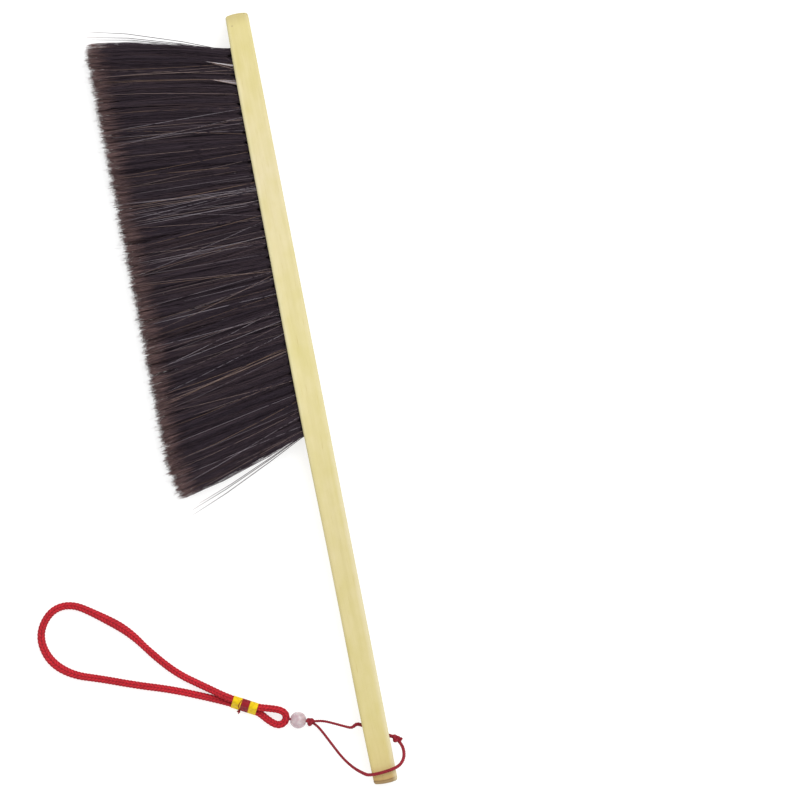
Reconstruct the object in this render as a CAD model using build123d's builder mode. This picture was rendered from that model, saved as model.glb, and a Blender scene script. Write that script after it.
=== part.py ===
"""Neck duster brush: a wooden stick with a field of tufts along one edge and a cord lanyard.

Frame (millimetres): the brush lies on its side on the plane Z = 0. +Y runs along the
handle towards the head end, the tufts point towards -X and the back edge of the handle
faces +X. The origin is below the centre of the box around the handle and the tufts.
"""

from build123d import *

import os
from math import pi, radians, tan

os.makedirs("parts", exist_ok=True)

# ---------------------------------------------------------------- driving dimensions
BRUSH_LENGTH = 400.0  # handle, end to end
BRUSH_WIDTH = 84.7  # tuft tips to the back edge of the handle
HANDLE_DEPTH = 16.0  # across the tuft rows
HEAD_WIDTH = 11.6  # handle at the head end
SHOULDER_WIDTH = 12.2  # and just below it
UPPER_WIDTH = 12.8
BELLY_WIDTH = 13.3  # widest, at the grip end of the tuft field
GRIP_WIDTH = 12.7
BUTT_WIDTH = 12.2
SHOULDER_Y = 178.0
UPPER_Y = 95.0
BELLY_Y = -6.0
GRIP_TOP_Y = -90.0
GRIP_END_Y = -160.0
END_ARCH = 0.7  # rise of the arched ends
CORNER_RADIUS = 1.5
EDGE_RADIUS = 1.3

TUFTS_PER_ROW = 41  # the middle row, set between the others, has one less
FIELD_TOP_Y = 181.4  # first hole of the outer rows
FIELD_END_Y = -17.0  # last hole of the outer rows
HOLE_RADIUS = 1.6
HOLE_DEPTH = 8.0  # below the widest place
HOLE_RUN_OUT = 2.0  # how far the drilling goes past the widest place
ROW_PITCH = 4.4
TUFT_CLEARANCE = 0.1  # between a tuft and its hole
TUFT_ROOT_SIDE = 2.0
TUFT_ROOT_DEPTH = 1.0  # how far inside its hole a tuft starts to fan out
TUFT_GAP = 0.18  # between neighbouring tufts at the tips
TIP_TOP_Y = 199.0
TIP_END_Y = -37.2
TIP_LOW_Z = 0.3
TIP_HIGH_Z = 18.0
TIP_CORNER_DROP = 4.0  # how far the tips fall back at the grip end of the field
TIP_CORNER_START_Y = -18.0

ANCHOR_THICKNESS = 0.35
ANCHOR_HEIGHT = 1.6
ANCHOR_ABOVE_BOTTOM = 1.0
ANCHOR_WIDTH = 2 * HOLE_RADIUS - 0.1

CORD_HOLE_RADIUS = 1.5
CORD_HOLE_LEFT_Y = -168.5  # where its axis leaves the tuft side of the grip
CORD_HOLE_BACK_Y = -176.4  # and the back edge

WRIST_CORD_DIAMETER = 3.8
HANG_CORD_DIAMETER = 1.3
THREAD_THICKNESS = 0.3
BEAD_DIAMETER = 8.6
BEAD_BORE_RADIUS = 1.45
BEAD_EDGE_RADIUS = 0.2  # at the mouths of its bore
KNOT_DISTANCE = 6.1  # bead centre to bead knot centre
BEAD_KNOT_RADIUS = 1.85
BEAD_KNOT_LENGTH = 4.0
END_KNOT_RADIUS = 1.65
END_KNOT_LENGTH = 3.9
KNOT_ROUNDING = 0.85  # edge radius of a knot, as a share of its own radius
FLOOR_CLEARANCE = 0.05
THREAD_CLEARANCE = 0.05  # between the whipping and the floor
STRAND_RISE = 3.4  # the upper strand over the lower one, inside the whipping
STRAND_SHIFT = 2.15  # and how far it lies beside it

# ---------------------------------------------------------------- places worked out
BACK_X = BRUSH_WIDTH / 2
TIP_X = -BRUSH_WIDTH / 2
END_Y = BRUSH_LENGTH / 2
BELLY_X = BACK_X - BELLY_WIDTH
GRIP_X = BACK_X - GRIP_WIDTH
HOLE_BOTTOM_X = BELLY_X + HOLE_DEPTH
MIDDLE_Z = HANDLE_DEPTH / 2
TUFT_PITCH = (FIELD_TOP_Y - FIELD_END_Y) / (TUFTS_PER_ROW - 1)
TIP_PITCH = (TIP_TOP_Y - TIP_END_Y) / TUFTS_PER_ROW
TIP_LAYER = (TIP_HIGH_Z - TIP_LOW_Z) / 3
# bristle side of the handle, from the head end to the butt: (x, y)
BRISTLE_EDGE = [
    (BACK_X - HEAD_WIDTH, END_Y - END_ARCH),
    (BACK_X - SHOULDER_WIDTH, SHOULDER_Y),
    (BACK_X - UPPER_WIDTH, UPPER_Y),
    (BELLY_X, BELLY_Y),
    (GRIP_X, GRIP_TOP_Y),
    (GRIP_X, GRIP_END_Y),
    (BACK_X - BUTT_WIDTH, -END_Y + END_ARCH),
]
# rows of tufts: name, hole height, first hole, number of tufts, level of the tips
ROWS = [
    ("lower", MIDDLE_Z - ROW_PITCH, FIELD_TOP_Y, TUFTS_PER_ROW, 0),
    ("middle", MIDDLE_Z, FIELD_TOP_Y - TUFT_PITCH / 2, TUFTS_PER_ROW - 1, 1),
    ("upper", MIDDLE_Z + ROW_PITCH, FIELD_TOP_Y, TUFTS_PER_ROW, 2),
]


def bristle_edge_x(y):
    """X of the handle's bristle side at height y along it, straight between stations."""
    for (x_above, y_above), (x_below, y_below) in zip(BRISTLE_EDGE, BRISTLE_EDGE[1:]):
        if y >= y_below:
            share = (y_above - y) / (y_above - y_below)
            return x_above + share * (x_below - x_above)
    return BRISTLE_EDGE[-1][0]


def row_holes(first_y, count):
    """Y of each hole of a row."""
    return [first_y - k * TUFT_PITCH for k in range(count)]


# ---------------------------------------------------------------- handle
with BuildPart() as handle:
    with BuildSketch() as outline:
        with BuildLine():
            head_end = ThreePointArc(
                (BACK_X, END_Y - END_ARCH),
                (BACK_X - HEAD_WIDTH / 2, END_Y),
                BRISTLE_EDGE[0],
            )
            Spline(BRISTLE_EDGE)
            butt_end = ThreePointArc(
                BRISTLE_EDGE[-1],
                (BACK_X - BUTT_WIDTH / 2, -END_Y),
                (BACK_X, -END_Y + END_ARCH),
            )
            Line(butt_end @ 1, head_end @ 0)
        make_face()
        fillet(outline.vertices(), radius=CORNER_RADIUS)
    extrude(amount=HANDLE_DEPTH)
    rims = handle.faces().filter_by(Axis.Z).edges()
    fillet(rims, radius=EDGE_RADIUS)

    # blind tuft holes, drilled from the bristle side
    for _, hole_z, first_y, count, _ in ROWS:
        for hole_y in row_holes(first_y, count):
            mouth = Plane(
                origin=(HOLE_BOTTOM_X, hole_y, hole_z), x_dir=(0, 1, 0), z_dir=(-1, 0, 0)
            )
            with BuildSketch(mouth):
                Circle(HOLE_RADIUS)
    extrude(amount=HOLE_DEPTH + HOLE_RUN_OUT, mode=Mode.SUBTRACT)

    # slanting cord hole through the grip
    hole_run = Vector(BACK_X - GRIP_X, CORD_HOLE_BACK_Y - CORD_HOLE_LEFT_Y, 0)
    hole_middle = Vector(
        (BACK_X + GRIP_X) / 2, (CORD_HOLE_BACK_Y + CORD_HOLE_LEFT_Y) / 2, MIDDLE_Z
    )
    with BuildSketch(Plane(origin=hole_middle, x_dir=(0, 0, 1), z_dir=hole_run)):
        Circle(CORD_HOLE_RADIUS)
    extrude(amount=hole_run.length, both=True, mode=Mode.SUBTRACT)
handle.part.label = "handle"
export_step(handle.part, "parts/handle.step")


# ---------------------------------------------------------------- tufts and their anchors
def tip_x(y):
    """X of the tuft tips at height y: a straight line that falls back near the grip."""
    fall = max(0.0, (TIP_CORNER_START_Y - y) / (TIP_CORNER_START_Y - TIP_END_Y))
    return TIP_X + TIP_CORNER_DROP * fall**2


for row_name, hole_z, first_y, count, level in ROWS:
    tip_first_y = TIP_TOP_Y - TIP_PITCH * (TUFTS_PER_ROW - count + 1) / 2
    tip_z = TIP_LOW_Z + (level + 0.5) * TIP_LAYER
    holes = row_holes(first_y, count)

    with BuildPart() as tufts:
        # plugs in the holes
        for hole_y in holes:
            hole_bottom = Plane(
                origin=(HOLE_BOTTOM_X - TUFT_CLEARANCE, hole_y, hole_z),
                x_dir=(0, 1, 0),
                z_dir=(-1, 0, 0),
            )
            with BuildSketch(hole_bottom):
                Circle(HOLE_RADIUS - TUFT_CLEARANCE)
        extrude(amount=HOLE_DEPTH - TUFT_CLEARANCE)
        # wedges that fan out from the mouths to the tips
        wedges = []
        for k, hole_y in enumerate(holes):
            root_x = bristle_edge_x(hole_y) + TUFT_ROOT_DEPTH
            tip_y = tip_first_y - k * TIP_PITCH
            at_root = Plane(origin=(root_x, hole_y, hole_z), x_dir=(0, 1, 0), z_dir=(-1, 0, 0))
            at_tip = Plane(origin=(tip_x(tip_y), tip_y, tip_z), x_dir=(0, 1, 0), z_dir=(-1, 0, 0))
            with BuildSketch(at_root, mode=Mode.PRIVATE) as root:
                Rectangle(TUFT_ROOT_SIDE, TUFT_ROOT_SIDE)
            with BuildSketch(at_tip, mode=Mode.PRIVATE) as tip:
                Rectangle(TIP_PITCH - TUFT_GAP, TIP_LAYER - TUFT_GAP)
            wedges.append(loft([root.sketch, tip.sketch], ruled=True, mode=Mode.PRIVATE))
        add(wedges)
        # slots where the folded tufts straddle their anchors
        slot_x = HOLE_BOTTOM_X - ANCHOR_ABOVE_BOTTOM - ANCHOR_HEIGHT / 2
        with Locations(*[(slot_x, y, hole_z) for y in holes]):
            Box(ANCHOR_HEIGHT, 2 * ANCHOR_WIDTH, ANCHOR_THICKNESS, mode=Mode.SUBTRACT)
    tufts.part.label = f"tufts_{row_name}_row"
    export_step(tufts.part, f"parts/tufts_{row_name}_row.step")

    with BuildPart() as anchors:
        with Locations(*[(slot_x, y, hole_z) for y in holes]):
            Box(ANCHOR_HEIGHT, ANCHOR_WIDTH, ANCHOR_THICKNESS)
    anchors.part.label = f"anchors_{row_name}_row"
    export_step(anchors.part, f"parts/anchors_{row_name}_row.step")


# ---------------------------------------------------------------- cords
def cord_radii(name, route):
    """Arc radius at each inner point of a route: 0.45 of the shorter run over tan(half turn)."""
    points = [Vector(*p) for p in route]
    radii = []
    for before, corner, after in zip(points, points[1:], points[2:]):
        run_in = corner - before
        run_out = after - corner
        turn = radians(run_in.get_angle(run_out))
        radii.append(0.45 * min(run_in.length, run_out.length) / tan(turn / 2))
    print(name, "radii", [round(r, 1) for r in radii])
    return radii


def print_cord(name, tube, wire, diameter):
    """Print a tube's length, and its volume over its section times its length."""
    ratio = tube.volume / (pi * diameter**2 / 4 * wire.length)
    print(f"{name} length {wire.length:.1f} volume ratio {ratio:.4f}")


FLOOR_Z = WRIST_CORD_DIAMETER / 2 + FLOOR_CLEARANCE  # axis of the wrist cord on the floor
LOW_LANE_Z = FLOOR_Z + THREAD_THICKNESS + THREAD_CLEARANCE  # the strands inside the whipping
TOP_LANE_Z = LOW_LANE_Z + STRAND_RISE

# from inside the whipping round the wrist loop, back through the whipping and round the eye
WRIST_ROUTE = [
    (-26.9, -146.35, TOP_LANE_Z),
    (-34.2, -142.3, TOP_LANE_Z - 0.1),
    (-45.2, -134.2, 2.9),
    (-57.9, -124.9, FLOOR_Z),
    (-68.4, -112.8, FLOOR_Z),
    (-78.3, -98.6, FLOOR_Z),
    (-91.6, -87.9, FLOOR_Z),
    (-104.2, -79.2, FLOOR_Z),
    (-115.8, -80.9, FLOOR_Z),
    (-123.7, -92.2, FLOOR_Z),
    (-121.0, -105.8, FLOOR_Z),
    (-111.0, -115.2, FLOOR_Z),
    (-96.1, -120.2, FLOOR_Z),
    (-79.9, -126.5, FLOOR_Z),
    (-62.5, -132.2, FLOOR_Z),
    (-46.8, -138.9, FLOOR_Z),
    (-36.0, -143.8, 2.1),
    (-27.1, -148.4, LOW_LANE_Z),
    (-20.9, -152.0, 2.5),
    (-16.9, -157.0, 2.9),
    (-13.0, -160.4, 3.4),
    (-9.7, -160.4, 3.9),
    (-7.4, -158.1, 4.3),
    (-7.6, -155.1, 4.4),
    (-10.0, -153.0, 4.6),
    (-14.5, -151.4, 5.1),
    (-20.8, -149.6, 5.7),
    (-26.5, -146.6, TOP_LANE_Z),
]

with BuildPart() as wrist_cord:
    with BuildLine() as wrist_line:
        FilletPolyline(*WRIST_ROUTE, radius=cord_radii("wrist_cord", WRIST_ROUTE))
    wrist_wire = wrist_line.wires()[0]
    with BuildSketch(Plane(origin=wrist_wire @ 0, z_dir=wrist_wire % 0)):
        Circle(WRIST_CORD_DIAMETER / 2)
    sweep(path=wrist_wire)
print_cord("wrist_cord", wrist_cord.part, wrist_wire, WRIST_CORD_DIAMETER)
wrist_cord.part.label = "wrist_cord"
export_step(wrist_cord.part, "parts/wrist_cord.step")

BEAD_Z = BEAD_DIAMETER / 2 + FLOOR_CLEARANCE
BEAD_CENTRE = Vector(-1.75, -160.0, BEAD_Z)
BEAD_AXIS = Vector(0.95, -0.312, 0).normalized()  # along its bore, away from the eye
KNOT_CENTRE = BEAD_CENTRE + BEAD_AXIS * KNOT_DISTANCE
END_KNOT_CENTRE = Vector(45.6, -178.7, MIDDLE_Z)
END_KNOT_AXIS = Vector(0.78, -0.62, 0).normalized()
TAIL_END = Vector(48.5, -179.0, 8.7)  # of the cut end that stands out of the end knot
LANE = 0.68  # half the distance between the two passes of the hang cord in the bead
UP_LANE_Z = BEAD_Z + LANE
DOWN_LANE_Z = BEAD_Z - LANE

# end knot, through the grip, bead knot, bead, round inside the braid of the eye, back
# through the bead and its knot, over the front of the grip, and into the end knot again
HANG_ROUTE = [
    (45.3, -178.1, 8.5),
    (42.0, -176.3, 8.3),
    (35.6, -172.2, 7.8),
    (29.4, -168.4, 8.0),
    (27.0, -167.4, 7.9),
    (24.4, -169.2, 7.1),
    (20.9, -167.6, 5.9),
    (15.8, -165.1, 4.9),
    (11.0, -162.9, 4.6),
    (7.2, -162.2, 4.7),
    (4.0, -161.9, UP_LANE_Z),
    (1.67, -161.12, UP_LANE_Z),
    (-1.18, -160.19, UP_LANE_Z + 0.03),
    (-3.65, -159.38, UP_LANE_Z),
    (-5.65, -158.72, UP_LANE_Z + 0.03),
    (-6.7, -158.3, 5.5),
    (-8.13, -157.76, 5.6),
    (-8.84, -157.53, 4.87),
    (-8.84, -157.53, 3.83),
    (-8.13, -157.76, 3.1),
    (-6.7, -158.3, 3.2),
    (-5.65, -158.72, DOWN_LANE_Z - 0.03),
    (-3.65, -159.38, DOWN_LANE_Z),
    (-1.18, -160.19, DOWN_LANE_Z - 0.03),
    (1.67, -161.12, DOWN_LANE_Z),
    (4.0, -162.0, DOWN_LANE_Z),
    (6.7, -164.0, 3.1),
    (9.2, -168.2, 1.7),
    (12.5, -175.0, 0.75),
    (16.6, -183.2, 0.75),
    (21.0, -189.0, 4.4),
    (24.9, -192.2, 12.0),
    (28.8, -194.6, 20.4),
    (43.2, -193.4, 20.4),
    (47.6, -189.6, 16.5),
    (48.4, -184.9, 11.8),
    (47.5, -181.6, 8.9),
    (46.2, -179.4, 7.4),
]

with BuildPart() as hang_cord:
    with BuildLine() as hang_line:
        FilletPolyline(*HANG_ROUTE, radius=cord_radii("hang_cord", HANG_ROUTE))
    hang_wire = hang_line.wires()[0]
    with BuildSketch(Plane(origin=hang_wire @ 0, z_dir=hang_wire % 0)):
        Circle(HANG_CORD_DIAMETER / 2)
    sweep(path=hang_wire)
print_cord("hang_cord", hang_cord.part, hang_wire, HANG_CORD_DIAMETER)
hang_cord.part.label = "hang_cord"
export_step(hang_cord.part, "parts/hang_cord.step")


# ---------------------------------------------------------------- whipping on the wrist cord
WHIP_START = Vector(-32.9, -144.2, (LOW_LANE_Z + TOP_LANE_Z) / 2)
WHIP_AXIS = Vector(11.6, -6.4, 0).normalized()
WHIP_SIDE = Vector(-WHIP_AXIS.Y, WHIP_AXIS.X, 0)
LANE_ACROSS = WHIP_SIDE * STRAND_SHIFT + Vector(0, 0, STRAND_RISE)  # lower strand to upper
# bands of wound thread: name, distance from the loop end, length
BANDS = [
    ("whipping_yellow_outer", 0.0, 4.6),
    ("whipping_maroon", 4.6, 4.3),
    ("whipping_yellow_inner", 8.9, 4.2),
]

for band_name, band_start, band_length in BANDS:
    band_plane = Plane(
        origin=WHIP_START + WHIP_AXIS * band_start, x_dir=LANE_ACROSS, z_dir=WHIP_AXIS
    )
    with BuildPart() as band:
        with BuildSketch(band_plane):
            SlotCenterToCenter(LANE_ACROSS.length, WRIST_CORD_DIAMETER + 2 * THREAD_THICKNESS)
            SlotCenterToCenter(LANE_ACROSS.length, WRIST_CORD_DIAMETER, mode=Mode.SUBTRACT)
        extrude(amount=band_length)
    band.part.label = band_name
    export_step(band.part, f"parts/{band_name}.step")

# knotted end of the whipping thread, beside the maroon band
THREAD_KNOT = Vector(-30.7, -149.8, LOW_LANE_Z)
THREAD_TAIL_RUN = Vector(-0.4, -0.9, 0.1)
THREAD_TAIL_LENGTH = 1.5
with BuildPart() as thread_end:
    with Locations(THREAD_KNOT):
        Sphere(2 * THREAD_THICKNESS)
    with BuildSketch(Plane(origin=THREAD_KNOT, z_dir=THREAD_TAIL_RUN)):
        Circle(THREAD_THICKNESS)
    extrude(amount=THREAD_TAIL_LENGTH)
thread_end.part.label = "thread_end"
export_step(thread_end.part, "parts/thread_end.step")


# ---------------------------------------------------------------- bead and knots
with BuildPart() as quartz_bead:
    with BuildSketch(Plane(origin=BEAD_CENTRE, x_dir=BEAD_AXIS, z_dir=(0, 0, 1))) as half_bead:
        Circle(BEAD_DIAMETER / 2)
        with Locations((0, BEAD_BORE_RADIUS)):
            below_wall = (Align.CENTER, Align.MAX)
            Rectangle(2 * BEAD_DIAMETER, BEAD_DIAMETER, align=below_wall, mode=Mode.SUBTRACT)
        fillet(half_bead.vertices(), radius=BEAD_EDGE_RADIUS)
    revolve(axis=Axis(BEAD_CENTRE, BEAD_AXIS))
quartz_bead.part.label = "quartz_bead"
export_step(quartz_bead.part, "parts/quartz_bead.step")


def knot_plane(centre, axis, length):
    """Plane of a knot's flat end, with the knot's axis along its normal."""
    return Plane(origin=centre - axis * length / 2, z_dir=axis)


with BuildPart() as bead_knot:
    with BuildSketch(knot_plane(KNOT_CENTRE, BEAD_AXIS, BEAD_KNOT_LENGTH)):
        Circle(BEAD_KNOT_RADIUS)
    extrude(amount=BEAD_KNOT_LENGTH)
    rims = bead_knot.faces().filter_by(GeomType.PLANE).edges()
    fillet(rims, radius=KNOT_ROUNDING * BEAD_KNOT_RADIUS)
bead_knot.part.label = "bead_knot"
export_step(bead_knot.part, "parts/bead_knot.step")

with BuildPart() as end_knot:
    with BuildSketch(knot_plane(END_KNOT_CENTRE, END_KNOT_AXIS, END_KNOT_LENGTH)):
        Circle(END_KNOT_RADIUS)
    extrude(amount=END_KNOT_LENGTH)
    rims = end_knot.faces().filter_by(GeomType.PLANE).edges()
    fillet(rims, radius=KNOT_ROUNDING * END_KNOT_RADIUS)
    # short cut end of the cord
    with BuildSketch(Plane(origin=END_KNOT_CENTRE, z_dir=TAIL_END - END_KNOT_CENTRE)):
        Circle(HANG_CORD_DIAMETER / 2)
    extrude(amount=(TAIL_END - END_KNOT_CENTRE).length)
end_knot.part.label = "end_knot"
export_step(end_knot.part, "parts/end_knot.step")
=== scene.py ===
from math import pi, radians

import bpy
import numpy as np
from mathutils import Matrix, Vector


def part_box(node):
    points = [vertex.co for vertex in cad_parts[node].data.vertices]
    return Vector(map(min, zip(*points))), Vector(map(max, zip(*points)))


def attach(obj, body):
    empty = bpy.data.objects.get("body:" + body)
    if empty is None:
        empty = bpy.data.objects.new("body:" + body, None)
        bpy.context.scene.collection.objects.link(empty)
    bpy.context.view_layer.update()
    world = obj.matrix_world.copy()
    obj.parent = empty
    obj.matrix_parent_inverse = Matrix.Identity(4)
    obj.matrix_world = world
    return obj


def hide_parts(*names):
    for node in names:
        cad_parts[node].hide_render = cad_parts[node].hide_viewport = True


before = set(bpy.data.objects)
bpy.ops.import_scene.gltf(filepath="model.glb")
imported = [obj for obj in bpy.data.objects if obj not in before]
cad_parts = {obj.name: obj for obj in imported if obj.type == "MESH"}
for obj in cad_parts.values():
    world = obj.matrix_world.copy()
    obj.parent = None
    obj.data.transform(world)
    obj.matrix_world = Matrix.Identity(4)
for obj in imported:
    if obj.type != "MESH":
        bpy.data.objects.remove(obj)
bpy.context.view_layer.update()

random = np.random.default_rng(20)
MM = 0.001
UP = np.array([0.0, 0.0, 1.0])
FLOOR_CLEARANCE = 0.05 * MM  # under what lies on the floor


# ---------------------------------------------------------------- camera, floor and light
def make_camera():
    """A long lens straight above the brush, turned so that its handle leans to the left."""
    height, seen_width, view_middle, lean = 6.0, 0.4084, (0.0807, -0.0095), radians(-11.08)
    data = bpy.data.cameras.new("camera")
    data.sensor_width = 36.0
    data.lens = data.sensor_width * height / seen_width
    camera = bpy.data.objects.new("camera", data)
    handle_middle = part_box("handle")[1].z / 2
    camera.location = (*view_middle, handle_middle + height)
    camera.rotation_euler = (0, 0, lean)
    bpy.context.scene.collection.objects.link(camera)
    bpy.context.scene.camera = camera


def make_floor():
    """A large white floor just under the brush, lit from within so that shadows on it stay faint."""
    half, grey, glow = 40.0, 0.4, 0.7
    mesh = bpy.data.meshes.new("floor")
    corners = [(-half, -half, 0), (half, -half, 0), (half, half, 0), (-half, half, 0)]
    mesh.from_pydata(corners, [], [(0, 1, 2, 3)])
    floor = bpy.data.objects.new("floor", mesh)
    white, shader = new_material("floor_paint", 0.9, 0.0)
    shader.inputs["Base Color"].default_value = (grey, grey, grey, 1)
    shader.inputs["Emission Color"].default_value = (1, 1, 1, 1)
    shader.inputs["Emission Strength"].default_value = glow
    mesh.materials.append(white)
    bpy.context.scene.collection.objects.link(floor)


def make_light():
    """Soft light from all round, and one large panel up and to the right."""
    world = bpy.data.worlds.new("studio")
    bpy.context.scene.world = world
    world.use_nodes = True
    background = world.node_tree.nodes["Background"]
    background.inputs["Color"].default_value = (1, 1, 1, 1)
    background.inputs["Strength"].default_value = 1.0
    data = bpy.data.lights.new("panel", "AREA")
    data.shape = "DISK"
    data.size = 1.6
    data.energy = 28.0
    panel = bpy.data.objects.new("panel", data)
    panel.location = (0.9, 0.9, 1.9)
    to_brush = -panel.location
    panel.rotation_euler = to_brush.to_track_quat("-Z", "Y").to_euler()
    panel.visible_camera = False
    bpy.context.scene.collection.objects.link(panel)
    bpy.context.scene.view_settings.view_transform = "Standard"


# ---------------------------------------------------------------- material helpers
def new_material(name, roughness, specular=0.5):
    """A material and its Principled shader."""
    made = bpy.data.materials.new(name)
    made.use_nodes = True
    shader = made.node_tree.nodes["Principled BSDF"]
    shader.inputs["Roughness"].default_value = roughness
    shader.inputs["Specular IOR Level"].default_value = specular
    return made, shader


def add_node(made, kind, inputs=(), **settings):
    """A new node, with settings, and with its inputs linked or set by name or number."""
    node = made.node_tree.nodes.new("ShaderNode" + kind)
    for name, value in settings.items():
        setattr(node, name, value)
    for key, value in dict(inputs).items():
        if isinstance(value, bpy.types.NodeSocket):
            made.node_tree.links.new(value, node.inputs[key])
        else:
            node.inputs[key].default_value = value
    return node


def object_place(made, scale=(1, 1, 1)):
    """Object coordinates, stretched."""
    coordinates = add_node(made, "TexCoord").outputs["Object"]
    return add_node(made, "Mapping", {"Vector": coordinates, "Scale": scale}).outputs[0]


def noise(made, vector, scale, detail=3.0):
    """Noise from 0 to 1 at that many features a metre."""
    inputs = {"Vector": vector, "Scale": scale, "Detail": detail}
    return add_node(made, "TexNoise", inputs).outputs[0]


def ramp(made, factor, stops, interpolation="LINEAR"):
    """Colours at places from 0 to 1."""
    node = add_node(made, "ValToRGB", {"Fac": factor})
    node.color_ramp.interpolation = interpolation
    elements = node.color_ramp.elements
    while len(elements) < len(stops):
        elements.new(0.5)
    for element, (place, colour) in zip(elements, stops):
        element.position = place
        element.color = (*colour, 1)
    return node.outputs["Color"]


def mix(made, factor, first, second, blend_type="MIX"):
    """One colour over another; a colour is a socket or three numbers."""
    inputs = {0: factor}
    for slot, colour in ((6, first), (7, second)):
        inputs[slot] = colour if isinstance(colour, bpy.types.NodeSocket) else (*colour, 1)
    settings = {"data_type": "RGBA", "blend_type": blend_type}
    return add_node(made, "Mix", inputs, **settings).outputs[2]


def math_node(made, operation, first, second=0.0):
    """A sum, a product or the like of two values."""
    return add_node(made, "Math", {0: first, 1: second}, operation=operation).outputs[0]


def between(made, value, low, high, at_low=0.0, at_high=1.0):
    """A number from at_low to at_high for a value that goes from low to high."""
    inputs = {0: value, 1: low, 2: high, 3: at_low, 4: at_high}
    return add_node(made, "MapRange", inputs).outputs[0]


def add_bump(made, shader, height, strength, distance):
    """Relief in the shading, from a height that goes from 0 to 1."""
    inputs = {"Height": height, "Strength": strength, "Distance": distance}
    bump = add_node(made, "Bump", inputs).outputs[0]
    made.node_tree.links.new(bump, shader.inputs["Normal"])


def paint(made, shader, colour):
    """Link a colour to the shader."""
    made.node_tree.links.new(colour, shader.inputs["Base Color"])


# ---------------------------------------------------------------- mesh helpers
def make_mesh(name, points, *face_sets):
    """A smooth mesh object from an array of points and arrays of faces."""
    mesh = bpy.data.meshes.new(name)
    corners = np.concatenate([faces.ravel() for faces in face_sets]).astype(np.int32)
    sizes = np.concatenate([np.full(len(faces), faces.shape[1]) for faces in face_sets])
    starts = np.concatenate([[0], np.cumsum(sizes)[:-1]]).astype(np.int32)
    mesh.vertices.add(len(points))
    mesh.vertices.foreach_set("co", np.asarray(points, np.float32).ravel())
    mesh.loops.add(len(corners))
    mesh.loops.foreach_set("vertex_index", corners)
    mesh.polygons.add(len(starts))
    mesh.polygons.foreach_set("loop_start", starts)
    mesh.update(calc_edges=True)
    mesh.shade_smooth()
    made = bpy.data.objects.new(name, mesh)
    bpy.context.scene.collection.objects.link(made)
    return made


def store(made, name, values):
    """Keep a number at each point of a mesh, for its material."""
    attribute = made.data.attributes.new(name, "FLOAT", "POINT")
    attribute.data.foreach_set("value", values.astype(np.float32))


def hand_over(piece, material, node, body="brush"):
    """Give a piece its material, hide the node it stands for if it has one, and attach it to the body that
    carries it.
    """
    piece.data.materials.append(material)
    if node:
        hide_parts(node)
    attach(piece, body)


def grid_faces(rings, sides, close_rings=False):
    """Quads of a tube of rings of points, its points numbered ring by ring."""
    last = rings if close_rings else rings - 1
    ring, side = np.meshgrid(np.arange(last), np.arange(sides), indexing="ij")
    after, beside = (ring + 1) % rings, (side + 1) % sides
    corners = [ring * sides + side, after * sides + side, after * sides + beside, ring * sides + beside]
    return np.stack([c.ravel() for c in corners], axis=1)[:, ::-1]


def tube_mesh(rings):
    """Points and faces of a closed tube from an array of rings of points, with a fan at each end."""
    count, sides = rings.shape[:2]
    points = np.concatenate([rings.reshape(-1, 3), rings[:1].mean(1), rings[-1:].mean(1)])
    first, side = count * sides, np.arange(sides)
    beside, last_ring = (side + 1) % sides, (count - 1) * sides
    start_cap = np.stack([np.full(sides, first), side, beside], axis=1)
    end_cap = np.stack([np.full(sides, first + 1), last_ring + beside, last_ring + side], axis=1)
    return points, grid_faces(count, sides)[:, ::-1], start_cap[:, ::-1], end_cap[:, ::-1]


def joined(name, parts):
    """One mesh object of several parts, each its points and then its arrays of faces."""
    points, face_sets, start = [], [], 0
    for part_points, *faces in parts:
        points.append(part_points)
        face_sets.extend(f + start for f in faces)
        start += len(part_points)
    return make_mesh(name, np.concatenate(points), *face_sets)


def joined_tubes(name, tubes):
    """One mesh object of several closed tubes, each an array of rings of points."""
    return joined(name, [tube_mesh(rings) for rings in tubes])


def unit(vectors):
    """The vectors at length 1."""
    return vectors / np.linalg.norm(vectors, axis=-1, keepdims=True)


def spline_line(route, step):
    """Evenly spaced points of the NURBS spline that has the route's points as its control points."""
    curve = bpy.data.curves.new("route", "CURVE")
    curve.dimensions = "3D"
    curve.resolution_u = 24
    spline = curve.splines.new("NURBS")
    spline.points.add(len(route) - 1)
    for point, place in zip(spline.points, route):
        point.co = (*place, 1.0)
    spline.order_u = 3
    spline.use_endpoint_u = True
    bare = bpy.data.objects.new("route", curve)
    mesh = bpy.data.meshes.new_from_object(bare)
    line = np.array([v.co for v in mesh.vertices], float)
    bpy.data.objects.remove(bare)
    bpy.data.meshes.remove(mesh)
    bpy.data.curves.remove(curve)
    return even_line(line, step)


def length_along(line):
    """How far along the line each of its points is."""
    return np.concatenate([[0], np.cumsum(np.linalg.norm(np.diff(line, axis=0), axis=1))])


def even_line(line, step):
    """The line with its points that far apart."""
    along = length_along(line)
    at = np.linspace(0, along[-1], int(along[-1] / step) + 1)
    return np.stack([np.interp(at, along, line[:, k]) for k in range(3)], axis=1)


def carried_frame(line):
    """Two directions across the line at each of its points, carried along it without twist."""
    tangents = unit(np.gradient(line, axis=0))
    normals = np.empty_like(tangents)
    normal = UP
    for k, tangent in enumerate(tangents):
        normal = unit(normal - tangent * (normal @ tangent))
        normals[k] = normal
    return normals, np.cross(tangents, normals)


def angles_round(sides):
    """Even angles round one turn."""
    return np.arange(sides) * 2 * pi / sides


def spokes_round(normals, binormals, sides):
    """Directions evenly round each point of a line."""
    angle = angles_round(sides)[:, None]
    return normals[:, None] * np.cos(angle) + binormals[:, None] * np.sin(angle)


def round_rings(line, radius, sides):
    """Rings of a round tube along a line; the radius is one number or one for each point."""
    radius = np.broadcast_to(radius, len(line))[:, None, None]
    return line[:, None] + radius * spokes_round(*carried_frame(line), sides)


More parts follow.
